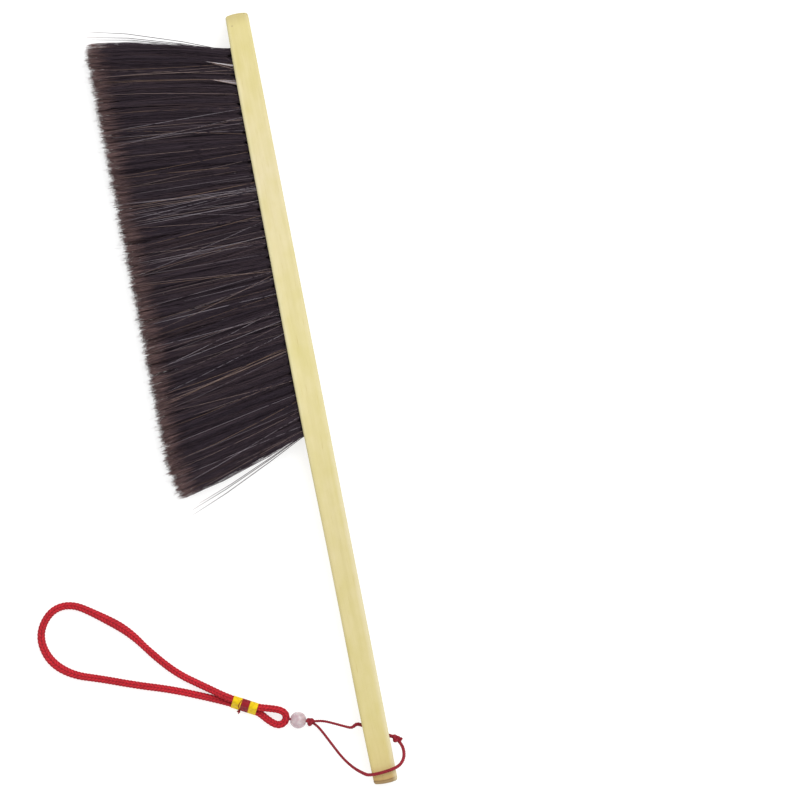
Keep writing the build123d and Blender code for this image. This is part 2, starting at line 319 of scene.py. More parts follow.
def twisted_plies(line, radius, plies=3, pitch=3.4 * MM, sides=8):
    """Rings of each ply of a laid cord of that outer radius, twisted round each other along the line."""
    ply_share = 0.53  # a ply's radius, of the cord's
    normals, binormals = carried_frame(line)
    along = length_along(line)
    radius = np.broadcast_to(radius, len(line))
    tubes = []
    for ply in range(plies):
        turn = 2 * pi * (along / pitch + ply / plies)
        spoke = normals * np.cos(turn)[:, None] + binormals * np.sin(turn)[:, None]
        middle = line + spoke * ((1 - ply_share) * radius)[:, None]
        tubes.append(round_rings(middle, ply_share * radius, sides))
    return tubes


def height_on(tubes, line, radius):
    """How far out each point of a cord's plies lies, from 0 well inside it to 1 at its outer radius."""
    inside, span = 0.55, 0.4  # shares of the radius
    radius = np.broadcast_to(radius, len(line))[:, None]
    heights = []
    for rings in tubes:
        out = np.linalg.norm(rings - line[:, None], axis=2) / radius
        heights += [np.clip((out - inside) / span, 0, 1).ravel(), [0, 0]]
    return np.concatenate(heights)


def swelling(along, place, reach):
    """A smooth swelling of 1 at a place along a line and that reach, both in mm."""
    return np.exp(-(((along - place * MM) / (reach * MM)) ** 2))


# ---------------------------------------------------------------- wrist cord
# heights of the cord's axis in mm: on the floor, and as the lower and upper strand in the whipping
FLOOR_Z = 1.95
LOW_LANE_Z = 2.3
TOP_LANE_Z = 5.7
WRIST_DIAMETER = 3.8 * MM
WRIST_ROUTE = np.array([
    (-26.9, -146.35, TOP_LANE_Z),
    (-34.2, -142.3, TOP_LANE_Z - 0.1),
    (-45.2, -134.2, 2.9),
    (-57.9, -124.9, FLOOR_Z),
    (-68.4, -112.8, FLOOR_Z),
    (-78.3, -98.6, FLOOR_Z),
    (-91.6, -87.9, FLOOR_Z),
    (-104.2, -79.2, FLOOR_Z),
    (-115.8, -80.9, FLOOR_Z),
    (-123.7, -92.2, FLOOR_Z),
    (-121.0, -105.8, FLOOR_Z),
    (-111.0, -115.2, FLOOR_Z),
    (-96.1, -120.2, FLOOR_Z),
    (-79.9, -126.5, FLOOR_Z),
    (-62.5, -132.2, FLOOR_Z),
    (-46.8, -138.9, FLOOR_Z),
    (-36.0, -143.8, 2.1),
    (-27.1, -148.4, LOW_LANE_Z),
    (-20.9, -152.0, 2.5),
    (-16.9, -157.0, 2.9),
    (-13.0, -160.4, 3.4),
    (-9.7, -160.4, 3.9),
    (-7.4, -158.1, 4.3),
    (-7.6, -155.1, 4.4),
    (-10.0, -153.0, 4.6),
    (-14.5, -151.4, 5.1),
    (-20.8, -149.6, 5.7),
    (-26.5, -146.6, TOP_LANE_Z),
]) * MM


def braid_relief(along, angle):
    """Height from 0 to 1 of a round braid whose strands lie in columns of slanting stitches."""
    strands, pitch = 6, 1.8 * MM
    right = strands * angle / (2 * pi) + along / pitch
    left = strands * angle / (2 * pi) - along / pitch
    column = np.mod((right + left) / 2, 2)
    across = np.where(column < 1, right, left)
    stitch = np.abs(np.cos(pi * (across - np.round(across))))
    end = np.sin(pi * np.mod(column, 1))
    return stitch**0.7 * np.sqrt(np.clip(end, 0, 1))


def make_wrist_cord(cloth):
    """The braided cord, a little fuller on the long side of the loop and at its far corner."""
    sides, mean_radius, mean_relief, depth = 48, 1.76, 0.55, 0.42
    line = spline_line(WRIST_ROUTE, 0.25 * MM)
    along = length_along(line)
    fuller = 0.45 * swelling(along, 78, 12)
    fuller += 0.36 * swelling(along, 143, 13)
    fuller -= 0.12 * swelling(along, 60, 5)
    radius = (mean_radius + fuller)[:, None] * MM
    relief = braid_relief(along[:, None], angles_round(sides)[None, :])
    radius = radius + (relief - mean_relief) * depth * MM
    rings = line[:, None] + radius[..., None] * spokes_round(*carried_frame(line), sides)
    rings[..., 2] = np.maximum(rings[..., 2], FLOOR_CLEARANCE)
    cord = joined_tubes("wrist_cord_braid", [rings])
    # the relief is kept for the material's painted shade in the braid's low places
    store(cord, "relief", np.concatenate([relief.ravel(), [0, 0]]))
    hand_over(cord, cloth, "wrist_cord")
    return cord, line


def cord_cloth(name, colour, dark, valley_shade):
    """Dyed cord with small uneven patches of a darker dye, and painted shade that darkens it most where its
    relief is low.
    """
    made, shader = new_material(name, 0.72, 0.22)
    place = object_place(made)
    patches = ramp(made, noise(made, place, 900, 4), [(0.35, dark), (0.62, colour)])
    broad = ramp(made, noise(made, place, 60, 2), [(0.3, (0.82, 0.82, 0.82)), (0.7, (1, 1, 1))])
    cloth = mix(made, 1.0, patches, broad, "MULTIPLY")
    relief = add_node(made, "Attribute", attribute_name="relief").outputs["Fac"]
    # painted shade in the low relief, between stitches and plies
    low = ramp(made, relief, [(0.1, (1, 1, 1)), (0.6, (0, 0, 0))])
    paint(made, shader, mix(made, low, cloth, valley_shade))
    fibres = noise(made, object_place(made), 5200, 2)
    add_bump(made, shader, fibres, 0.35, 0.05 * MM)
    return made


# ---------------------------------------------------------------- hang cord
BEAD_Z = 4.35  # height of the bead's centre, in mm
LANE = 0.68  # half the distance between the two passes of the hang cord in the bead
UP_LANE_Z = BEAD_Z + LANE
DOWN_LANE_Z = BEAD_Z - LANE
HANG_ROUTE = np.array([
    (45.3, -178.1, 8.5),
    (42.0, -176.3, 8.3),
    (35.6, -172.2, 7.8),
    (29.4, -168.4, 8.0),
    (27.0, -167.4, 7.9),
    (24.4, -169.2, 7.1),
    (20.9, -167.6, 5.9),
    (15.8, -165.1, 4.9),
    (11.0, -162.9, 4.6),
    (7.2, -162.2, 4.7),
    (4.0, -161.9, UP_LANE_Z),
    (1.67, -161.12, UP_LANE_Z),
    (-1.18, -160.19, UP_LANE_Z + 0.03),
    (-3.65, -159.38, UP_LANE_Z),
    (-5.65, -158.72, UP_LANE_Z + 0.03),
    (-6.7, -158.3, 5.5),
    (-8.13, -157.76, 5.6),
    (-8.84, -157.53, 4.87),
    (-8.84, -157.53, 3.83),
    (-8.13, -157.76, 3.1),
    (-6.7, -158.3, 3.2),
    (-5.65, -158.72, DOWN_LANE_Z - 0.03),
    (-3.65, -159.38, DOWN_LANE_Z),
    (-1.18, -160.19, DOWN_LANE_Z - 0.03),
    (1.67, -161.12, DOWN_LANE_Z),
    (4.0, -162.0, DOWN_LANE_Z),
    (6.7, -164.0, 3.1),
    (9.2, -168.2, 1.7),
    (12.5, -175.0, 0.75),
    (16.6, -183.2, 0.75),
    (21.0, -189.0, 4.4),
    (24.9, -192.2, 12.0),
    (28.8, -194.6, 18.6),
    (43.2, -193.4, 18.6),
    (47.6, -189.6, 16.5),
    (48.4, -184.9, 11.8),
    (47.5, -181.6, 8.9),
    (46.2, -179.4, 7.4),
]) * MM


def make_hang_cord(cloth):
    """The thin laid cord: looser in its bight over the grip, and bunched at both mouths of its hole."""
    bight_start, loosens_over = 100 * MM, 18 * MM
    line = spline_line(HANG_ROUTE, 0.22 * MM)
    along = length_along(line)
    loosening = np.clip((along - bight_start) / loosens_over, 0, 1)
    bunched = swelling(along, 20, 4) + swelling(along, 2, 3)
    radius = (0.70 + 0.20 * loosening + 0.30 * bunched) * MM
    tubes = twisted_plies(line, radius)
    cord = joined_tubes("hang_cord_plies", tubes)
    # the relief is kept for the material's painted shade in the grooves between plies
    store(cord, "relief", height_on(tubes, line, radius))
    hand_over(cord, cloth, "hang_cord")
    return cord, line


# ---------------------------------------------------------------- knots and bead
def knot_line(centre, axis, up, size, turns=200):
    """The closed line of an overhand knot, its three lobes round up; size scales it along each direction."""
    t = np.linspace(0, 2 * pi, turns, endpoint=False)
    flat = np.stack([np.sin(t) + 2 * np.sin(2 * t), np.cos(t) - 2 * np.cos(2 * t)], axis=1)
    axis, up = unit(np.array(axis, float)), unit(np.array(up, float))
    across = np.cross(up, axis)
    points = flat[:, :1] * axis * size[0] + flat[:, 1:] * across * size[1]
    points = points - np.sin(3 * t)[:, None] * up * size[2]
    return np.array(centre) + points


def closed_tube(line, radius, sides):
    """Rings of a tube round a closed line."""
    tangents = unit(np.roll(line, -1, axis=0) - np.roll(line, 1, axis=0))
    outward = unit(line - line.mean(0))
    normals = unit(outward - tangents * (outward * tangents).sum(1, keepdims=True))
    binormals = np.cross(tangents, normals)
    return line[:, None] + radius * spokes_round(normals, binormals, sides)


def make_knot(name, node, centre, axis, size, radius, cloth, tail=None):
    """A tight overhand knot of doubled cord, and its cut tail if it has one."""
    sides, tail_radius = 10, 0.75 * MM
    up = np.array([0.0, 0.25, 1.0])
    parts = []
    for lift in (-0.5, 0.5):
        line = knot_line(centre, axis, up, size) + lift * radius * UP
        rings = closed_tube(line, radius, sides)
        faces = grid_faces(len(rings), sides, close_rings=True)[:, ::-1]
        parts.append((rings.reshape(-1, 3), faces))
    if tail is not None:
        plies = twisted_plies(even_line(np.array(tail, float), 0.2 * MM), tail_radius)
        parts += [tube_mesh(rings) for rings in plies]
    knot = joined(name, parts)
    store(knot, "relief", np.ones(len(knot.data.vertices)))
    hand_over(knot, cloth, node)
    return knot


BEAD_CENTRE = np.array([-1.75, -160.0, BEAD_Z]) * MM
BEAD_AXIS = unit(np.array([0.95, -0.312, 0.0]))
BEAD_RADIUS = 4.3 * MM
BEAD_BORE_RADIUS = 1.45 * MM


def make_bead(stone):
    """A round bead turned about its bore, with softened mouths."""
    radius, bore, lip, sides = BEAD_RADIUS, BEAD_BORE_RADIUS, 0.35 * MM, 72
    mouth = np.arccos((bore + lip) / radius)
    outer = np.linspace(-mouth, mouth, 40)
    profile = [(radius * np.sin(a), radius * np.cos(a)) for a in outer]
    end = profile[-1][0] - lip * 0.6
    profile += [(end + 0.3 * lip, bore + 0.25 * lip), (end - 0.3 * lip, bore)]
    profile += [(x, bore) for x in np.linspace(0.8 * end, -0.8 * end, 6)]
    profile += [(-end + 0.3 * lip, bore), (-end - 0.3 * lip, bore + 0.25 * lip)]
    profile = np.array(profile)
    spokes = spokes_round(np.cross(UP, BEAD_AXIS)[None], UP[None], sides)
    rings = BEAD_CENTRE + profile[:, :1, None] * BEAD_AXIS + profile[:, 1:, None] * spokes
    faces = grid_faces(len(profile), sides, close_rings=True)
    bead = make_mesh("rose_quartz_bead", rings.reshape(-1, 3), faces)
    hand_over(bead, stone, "quartz_bead", body="bead")
    return bead


def pink_stone():
    """Polished pale pink quartz, slightly cloudy and see-through."""
    made, shader = new_material("pink_stone", 0.16)
    shader.inputs["IOR"].default_value = 1.54
    shader.inputs["Transmission Weight"].default_value = 0.3
    shader.inputs["Subsurface Weight"].default_value = 0.35
    shader.inputs["Subsurface Radius"].default_value = (1.0, 0.7, 0.7)
    shader.inputs["Subsurface Scale"].default_value = 2 * MM
    clouds = noise(made, object_place(made), 420, 5)
    stops = [(0.32, (0.53, 0.39, 0.43)), (0.5, (0.60, 0.47, 0.50)), (0.68, (0.70, 0.61, 0.62))]
    paint(made, shader, ramp(made, clouds, stops))
    return made


# ---------------------------------------------------------------- whipping
WHIP_START = np.array([-32.9, -144.2, (LOW_LANE_Z + TOP_LANE_Z) / 2]) * MM
WHIP_AXIS = unit(np.array([11.6, -6.4, 0.0]))
WHIP_SIDE = np.array([-WHIP_AXIS[1], WHIP_AXIS[0], 0.0])
STRAND_SHIFT = 2.15  # how far the upper strand lies beside the lower one
STRANDS_APART = (WHIP_SIDE * STRAND_SHIFT + UP * (TOP_LANE_Z - LOW_LANE_Z)) * MM
THREAD_KNOT = np.array([-30.7, -149.8, LOW_LANE_Z]) * MM
BANDS = [  # node, material slot, distance from the loop end and length in mm
    ("whipping_yellow_outer", "yellow_thread", 0.0, 4.6),
    ("whipping_maroon", "maroon_thread", 4.6, 4.3),
    ("whipping_yellow_inner", "yellow_thread", 8.9, 4.2),
]


def whipping_surface(distance, turn, lift):
    """Points that far along the whipping, that part of a turn round its strands, and lifted off them."""
    reach = WRIST_DIAMETER / 2
    apart = np.linalg.norm(STRANDS_APART)
    upward = STRANDS_APART / apart
    sideways = np.cross(WHIP_AXIS, upward)
    around = np.mod(turn, 1) * (2 * apart + 2 * pi * reach)
    half_round = pi * reach
    straight_up = np.clip(around, 0, apart)
    over = np.clip(around - apart, 0, half_round) / reach
    straight_down = np.clip(around - apart - half_round, 0, apart)
    under = np.clip(around - 2 * apart - half_round, 0, half_round) / reach
    angle = (over + under)[..., None]
    height = (straight_up - straight_down)[..., None] - apart / 2
    out = sideways * np.cos(angle) + upward * np.sin(angle)
    middle = WHIP_START + WHIP_AXIS * np.asarray(distance)[..., None] + upward * height
    return middle + out * (reach + np.asarray(lift)[..., None])


def make_band(name, start, length, thread):
    """A band of thread wound side by side, as a ridged sleeve with an inner wall."""
    pitch, steps_per_turn, sides = 0.36, 7, 72
    thickness, wall_depth, wall_inset = 0.34 * MM, 0.25 * MM, 0.05
    distance = np.linspace(0, length, int(length / pitch * steps_per_turn))
    turn = np.arange(sides) / sides
    ridge = np.abs(np.sin(pi * (distance[:, None] / pitch + turn[None, :])))
    lift = thickness * (0.45 + 0.55 * np.sqrt(ridge))
    wall = np.full((1, sides), -wall_depth)
    lift = np.concatenate([wall, lift, wall])
    distance = np.concatenate([[wall_inset], distance, [length - wall_inset]])
    along = np.broadcast_to((start + distance)[:, None] * MM, lift.shape)
    rings = whipping_surface(along, np.broadcast_to(turn, lift.shape), lift)
    faces = grid_faces(len(rings), sides, close_rings=True)[:, ::-1]
    band = make_mesh(name + "_winding", rings.reshape(-1, 3), faces)
    hand_over(band, thread, name)
    return band


def make_thread_end(thread):
    """The end of the whipping thread: down over the outer band, knotted at its lower edge, and cut."""
    distance = np.array([4.3, 3.9, 3.5, 3.9, 4.3]) * MM
    turn = np.array([0.34, 0.28, 0.21, 0.13, 0.05])
    over_band = whipping_surface(distance, turn, np.full(len(turn), 0.45 * MM))
    cut_end = THREAD_KNOT + np.array([-0.5, -1.3, 0.1]) * MM
    line = spline_line(np.concatenate([over_band, [THREAD_KNOT, cut_end]]), 0.12 * MM)
    tubes = twisted_plies(line, 0.26 * MM, plies=2, pitch=1.4 * MM, sides=6)
    size = np.array([0.24, 0.22, 0.24]) * MM
    lump = knot_line(THREAD_KNOT, (1, 0.3, 0), (0, 0.3, 1), size, turns=60)
    tubes.append(round_rings(lump, 0.32 * MM, 8))
    end = joined_tubes("whipping_thread_end", tubes)
    hand_over(end, thread, "thread_end")
    return end


def silk(name, colour, dark):
    """Glossy wound thread."""
    made, shader = new_material(name, 0.5, 0.2)
    patches = noise(made, object_place(made), 700, 3)
    paint(made, shader, ramp(made, patches, [(0.3, dark), (0.6, colour)]))
    fibres = noise(made, object_place(made), 6000, 2)
    add_bump(made, shader, fibres, 0.3, 0.04 * MM)
    return made


# ---------------------------------------------------------------- bristles
HOLE_Y_MARGIN = 1.55 * MM  # from an end of a row of anchors to the middle of its hole
TUFTS = {"lower": 41, "middle": 40, "upper": 41}
LOCKS_PER_TUFT = 33
FILAMENTS_PER_LOCK = 6
TUFT_RADIUS = 1.5 * MM  # of the tuft in its hole
FILAMENT_RADIUS = 0.08 * MM
STATIONS = np.array([0.0, 0.068, 0.100, 0.36, 0.72, 1.0])  # places along a filament
MOUTH = 0.068  # place where a filament starts to spread out of its hole
FIRST_TIP_Y, LAST_TIP_Y = 199.2 * MM, -37.6 * MM
TIP_LOW_Z, TIP_HIGH_Z = 0.35 * MM, 18.0 * MM
SHADES = 16  # strips of the filaments' map
DARK_SHADES = 8  # the first of them; the others are pale


def row_of(name):
    """Places of one row of tufts, from its hole bottoms to its tips, and the middle of each tuft."""
    anchor_low, anchor_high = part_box(f"anchors_{name}_row")
    tuft_low, tuft_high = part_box(f"tufts_{name}_row")
    count = TUFTS[name]
    margin = (tuft_high.y - tuft_low.y) / count / 2
    return {
        "count": count,
        "root_x": anchor_low.x,
        "root_z": (anchor_low.z + anchor_high.z) / 2,
        "root_y": np.linspace(anchor_high.y - HOLE_Y_MARGIN, anchor_low.y + HOLE_Y_MARGIN, count),
        "tip_x": tuft_low.x,
        "tip_y": np.linspace(tuft_high.y - margin, tuft_low.y + margin, count),
    }


def tip_fall(y):
    """How far the tips fall back from their straight line, at the grip end and at the head corner."""
    grip_end = np.clip((-16 * MM - y) / (21 * MM), 0, 1)
    head_end = np.clip((y - 192 * MM) / (8 * MM), 0, 1)
    return 3.6 * MM * grip_end**1.6 + 1.4 * MM * head_end**2


def filament_mesh(name, roots, tips, bends, splay, radii, shades, fanning=1.1):
    """Thin three-sided filaments, each a gentle curve that splays out of its hole and has a thin tip."""
    count, stations = len(roots), len(STATIONS)
    taper_start, taper, splay_run = 0.75, 0.55, 0.035
    t = STATIONS[None, :, None]
    fan = 1 - (1 - np.clip((t - MOUTH) / (1 - MOUTH), 0, 1)) ** fanning
    spread = np.concatenate([t, fan, fan], axis=2)
    line = roots[:, None] + (tips - roots)[:, None] * spread + bends[:, None] * (4 * t * (1 - t))
    line = line + splay[:, None] * np.clip((t - MOUTH) / splay_run, 0, 1) * (1 - t)
    run = unit(tips - roots)
    across = unit(np.cross(run, UP))
    up = np.cross(across, run)
    angle = random.uniform(0, 2 * pi, (count, 1)) + np.arange(3) * 2 * pi / 3
    spokes = across[:, None] * np.cos(angle)[..., None] + up[:, None] * np.sin(angle)[..., None]
    thinner = 1 - taper * np.clip((STATIONS - taper_start) / (1 - taper_start), 0, 1) ** 1.5
    size = radii[:, None] * thinner[None, :]
    points = line[:, :, None] + size[:, :, None, None] * spokes[:, None]
    points[..., 2] = np.maximum(points[..., 2], 2 * FLOOR_CLEARANCE)
    sides = grid_faces(stations, 3)
    caps = np.array([[0, 1, 2], [3 * stations - 1, 3 * stations - 2, 3 * stations - 3]])
    first = np.arange(count)[:, None, None] * stations * 3
    made = make_mesh(
        name,
        points.reshape(-1, 3),
        (sides[None] + first).reshape(-1, 4),
        (caps[None] + first).reshape(-1, 3),
    )
    give_uv(made, count, stations, shades)
    return made


def give_uv(made, count, stations, shades):
    """A map that has the place along each filament from left to right, and its shade upwards."""
    along = np.broadcast_to(STATIONS[None, :, None], (count, stations, 3))
    shade = np.broadcast_to(shades[:, None, None], (count, stations, 3))
    points = np.stack([0.01 + 0.98 * along.ravel(), shade.ravel()], axis=1)
    corner = np.empty(len(made.data.loops), np.int32)
    made.data.loops.foreach_get("vertex_index", corner)
    layer = made.data.uv_layers.new(name="OFBake")
    layer.data.foreach_set("uv", points[corner].astype(np.float32).ravel())


def shade_places(kinds):
    """A random place in each kind's strip of the map, which sets how its brown tip looks."""
    return (np.asarray(kinds) + random.uniform(0.1, 0.9, len(kinds))) / SHADES


def hand_over_filaments(made, filament, node=None):
    """Give a set of filaments their material, hide the node they stand for if there is one, and attach them
    to the brush.
    """
    hand_over(made, filament, node)


def row_locks(row, level):
    """The locks of a row: each one's share of the way along it, root, tip, trim, bend and shade."""
    tufts = np.repeat(np.arange(row["count"]), LOCKS_PER_TUFT)
    n = len(tufts)
    share = tufts / (row["count"] - 1)
    turn, reach = random.uniform(0, 2 * pi, n), TUFT_RADIUS * np.sqrt(random.uniform(0, 1, n))
    root_y = row["root_y"][tufts] + reach * np.cos(turn)
    root_z = row["root_z"] + reach * np.sin(turn)
    tip_y = row["tip_y"][tufts] + random.normal(0, 2.3 * MM, n)
    layer = (TIP_HIGH_Z - TIP_LOW_Z) / len(TUFTS)
    tip_z = TIP_LOW_Z + layer * (level + random.uniform(-0.25, 1.25, n))
    trim = random.normal(0, 1.1 * MM, n)
    bulge = 1.5 * MM * np.clip(1 - share / 0.35, 0, 1)  # the first third bows towards the head
    bend_y = bulge + random.normal(0, 0.7 * MM, n)
    bend_z = 0.3 * MM + random.normal(0, 0.5 * MM, n)
    shade = random.choice(6, n, p=[0.24, 0.26, 0.2, 0.14, 0.1, 0.06])
    return {
        "share": share, "root_y": root_y, "root_z": root_z, "tip_y": tip_y, "tip_z": tip_z,
        "trim": trim, "bend": np.stack([np.zeros(n), bend_y, bend_z], axis=1), "shade": shade,
    }


def tips_kept_in(y):
    """Tips past either end of the field brought back a little inside it."""
    y = np.where(y > FIRST_TIP_Y, FIRST_TIP_Y - 0.25 * (y - FIRST_TIP_Y), y)
    return np.where(y < LAST_TIP_Y, LAST_TIP_Y - 0.25 * (y - LAST_TIP_Y), y)


def make_row(name, level, filament):
    """One row of tufts, each a set of locks of filaments that lie nearly together."""
    row = row_of(name)
    locks = row_locks(row, level)
    lock = np.repeat(np.arange(len(locks["share"])), FILAMENTS_PER_LOCK)
    m = len(lock)
    roots = np.stack([
        np.full(m, row["root_x"]),
        locks["root_y"][lock] + random.normal(0, 0.2 * MM, m),
        locks["root_z"][lock] + random.normal(0, 0.2 * MM, m),
    ], axis=1)
    y = tips_kept_in(locks["tip_y"][lock] + random.normal(0, 0.4 * MM, m))
    z = np.clip(locks["tip_z"][lock] + random.normal(0, 0.5 * MM, m), TIP_LOW_Z, TIP_HIGH_Z)
    longer = np.where(random.uniform(0, 1, m) < 0.05, random.exponential(0.9 * MM, m), 0)
    x = row["tip_x"] + 0.35 * MM + tip_fall(y) + locks["trim"][lock] - longer
    x = x + random.normal(0, 0.45 * MM, m) + random.exponential(1.3 * MM, m)
    tips = np.stack([x, y, z], axis=1)
    bends = locks["bend"][lock] + random.normal(0, 0.3 * MM, (m, 3)) * [0, 1, 1]
    splay = random.uniform(-1, 1, (m, 3)) * np.array([0, 1.9, 1.2]) * MM
    first, last = locks["share"][lock] == 0, locks["share"][lock] == 1
    splay[first, 1] = -np.abs(splay[first, 1])
    splay[last, 1] = np.abs(splay[last, 1])
    radii = FILAMENT_RADIUS * random.uniform(0.8, 1.15, m)
    kinds = np.clip(locks["shade"][lock] + random.integers(-1, 2, m), 0, DARK_SHADES - 1)
    half = m // 2
    for part, some in (("head", slice(0, half)), ("grip", slice(half, m))):
        made = filament_mesh(
            f"bristle_{name}_row_{part}", roots[some], tips[some], bends[some], splay[some],
            radii[some], shade_places(kinds[some]),
        )
        hand_over_filaments(made, filament, f"tufts_{name}_row")


STAND_OFFS = np.array([  # root's place along the handle, and tip, of each hair that stands off, in mm
    (181.6, -41.5, 205.8, 14.0),
    (181.2, -41.0, 202.8, 12.0),
    (181.0, -39.0, 201.2, 10.0),
    (-17.4, -34.0, -44.2, 13.0),
    (-17.8, -34.4, -46.8, 10.0),
    (-17.0, -30.0, -41.6, 14.0),
])
STAND_OFF_BENDS = np.array([[0, 1.5, 0]] * 3 + [[0, 0, 0]] * 3)


def make_strays(filament):
    """Paler filaments that lie across the top of the others, and the few that stand off at both ends."""
    row = row_of("upper")
    n = 90
    share = random.uniform(0, 1, n)
    root_y = np.interp(share, [0, 1], row["root_y"][[0, -1]])
    tip_y = np.interp(share, [0, 1], row["tip_y"][[0, -1]]) + random.normal(-2.0 * MM, 5.0 * MM, n)
    tip_y = np.clip(tip_y, LAST_TIP_Y + 1 * MM, FIRST_TIP_Y - 1 * MM)
    roots = np.stack([np.full(n, row["root_x"]), root_y, np.full(n, row["root_z"] + 1.2 * MM)], axis=1)
    tips = np.stack([
        row["tip_x"] + 1.0 * MM + tip_fall(tip_y) + random.exponential(2 * MM, n),
        tip_y,
        TIP_HIGH_Z + random.normal(0, 0.25 * MM, n),
    ], axis=1)
    bends = random.normal(0, 1.0, (n, 3)) * np.array([0, 0.5, 0.2]) * MM + 0.7 * MM * UP
    kinds = random.integers(DARK_SHADES, 14, n)
    radii = FILAMENT_RADIUS * random.uniform(0.7, 1.1, n)
    off = len(STAND_OFFS)
    off_roots = np.stack([
        np.full(off, row["root_x"]), STAND_OFFS[:, 0] * MM, np.full(off, row["root_z"]),
    ], axis=1)
    roots = np.concatenate([roots, off_roots])
    tips = np.concatenate([tips, STAND_OFFS[:, 1:] * MM])
    bends = np.concatenate([bends, STAND_OFF_BENDS * MM])
    radii = np.concatenate([radii, np.full(off, FILAMENT_RADIUS * 2.6)])
    kinds = np.concatenate([kinds, np.full(off, 3)])
    straight = np.zeros_like(roots)
    made = filament_mesh("bristle_strays", roots, tips, bends, straight, radii, shade_places(kinds))
    hand_over_filaments(made, filament)


GLINT_SLIVERS = [  # mouth and point of each sliver of pale filaments that stand in for glints, painted highlight, in mm
    ((30.0, 174.2, 14.4), (16.4, 178.9, 16.9)),
    ((30.6, 165.2, 14.4), (17.2, 169.4, 16.9)),
]


def make_painted_glints(filament):
    """Two pale slivers of short filaments that lie on the others beside the handle, near its head: painted
    highlight, standing in for glints on the bristles there.
    """
    starts, ends, each = [], [], 14
    for mouth, point in GLINT_SLIVERS:
        fringe = random.normal(0, 1.0, (each, 3)) * np.array([0.3, 0.5, 0.2])
        reach = random.uniform(0.45, 1.05, (each, 1))
        starts.append(np.array(mouth) + fringe)
        ends.append(np.array(mouth) + (np.array(point) - mouth) * reach + (1 - reach) * fringe)
    starts, ends = np.concatenate(starts) * MM, np.concatenate(ends) * MM
    none, n = np.zeros_like(starts), len(starts)
    made = filament_mesh(
        "bristle_painted_glints", starts, ends, none, none, np.full(n, 1.2 * FILAMENT_RADIUS),
        shade_places(random.integers(13, SHADES, n)), fanning=1.0,
    )
    hand_over_filaments(made, filament)


def filament_material():
    """Dark synthetic filament in several shades, browner and lighter at the cut tips."""
    made, shader = new_material("filament", 0.6, 0.15)
    map_place = add_node(made, "UVMap", uv_map="OFBake").outputs[0]
    axes = add_node(made, "SeparateXYZ", {0: map_place}).outputs  # place along, shade
    dark = [
        (0.034, 0.024, 0.034), (0.040, 0.028, 0.038), (0.046, 0.032, 0.042), (0.052, 0.036, 0.046),
        (0.060, 0.040, 0.048), (0.068, 0.045, 0.050), (0.080, 0.056, 0.066), (0.095, 0.070, 0.082),
    ]
    # the last three shades are used by the slivers' painted glints
    pale = [
        (0.20, 0.17, 0.19), (0.26, 0.20, 0.19), (0.32, 0.28, 0.31), (0.24, 0.16, 0.12),
        (0.40, 0.36, 0.40), (0.30, 0.22, 0.20), (0.50, 0.46, 0.50), (0.62, 0.58, 0.60),
    ]
    stops = [(k / SHADES, colour) for k, colour in enumerate(dark + pale)]
    body = ramp(made, axes[1], stops, "CONSTANT")
    # each filament's own place in its strip sets the brown of its tip and where that starts
    own = math_node(made, "FRACT", math_node(made, "MULTIPLY", axes[1], SHADES))
    brown = mix(made, 0.85, body, mix(made, own, (0.10, 0.058, 0.055), (0.40, 0.25, 0.23)))
    start = math_node(made, "FRACT", math_node(made, "MULTIPLY", own, 7.3))
    place = math_node(made, "SUBTRACT", axes[0], math_node(made, "MULTIPLY", start, 0.11))
    near_tip = ramp(made, place, [(0.835, (0, 0, 0)), (0.93, (0.95, 0.95, 0.95))])
    paint(made, shader, mix(made, near_tip, body, brown))
    return made


# ---------------------------------------------------------------- handle and anchors
def wood_lengthwise(made, along):
    """The wood's colour from the butt, at 0, to the head."""
    return ramp(made, along, [
        (0.0, (0.515, 0.418, 0.167)),
        (0.10, (0.540, 0.467, 0.212)),
        (0.30, (0.542, 0.470, 0.233)),
        (0.55, (0.573, 0.507, 0.240)),
        (0.80, (0.581, 0.509, 0.290)),
        (0.985, (0.552, 0.482, 0.205)),
        (1.0, (0.45, 0.377, 0.164)),
    ])


def butt_tone_and_shade(made, body, axes, low, high):
    """The end of the grip browner, with painted shade: its rounded end darker, and an arched dark line a
    little above its end where the rounded rim begins.
    """
    reach, rise = 10 * MM, 1.0 * MM
    from_middle = between(made, axes[0], low.x, high.x, -1.0, 1.0)
    arch = math_node(made, "MULTIPLY", math_node(made, "MULTIPLY", from_middle, from_middle), rise)
    above = math_node(made, "SUBTRACT", math_node(made, "SUBTRACT", axes[1], low.y), arch)
    above = math_node(made, "MULTIPLY", above, 1 / reach)
    # the end face and the arched dark line are painted shade of the rounded end; above the line the colour
    # turns gradually back to the body's
    butt = ramp(made, above, [
        (0.0, (0.28, 0.185, 0.082)),
        (0.12, (0.30, 0.20, 0.088)),
        (0.17, (0.19, 0.11, 0.042)),
        (0.22, (0.43, 0.285, 0.105)),
        (0.45, (0.50, 0.37, 0.145)),
        (1.0, (0.525, 0.43, 0.175)),
    ])
    return mix(made, ramp(made, above, [(0.8, (1, 1, 1)), (1.0, (0, 0, 0))]), body, butt)


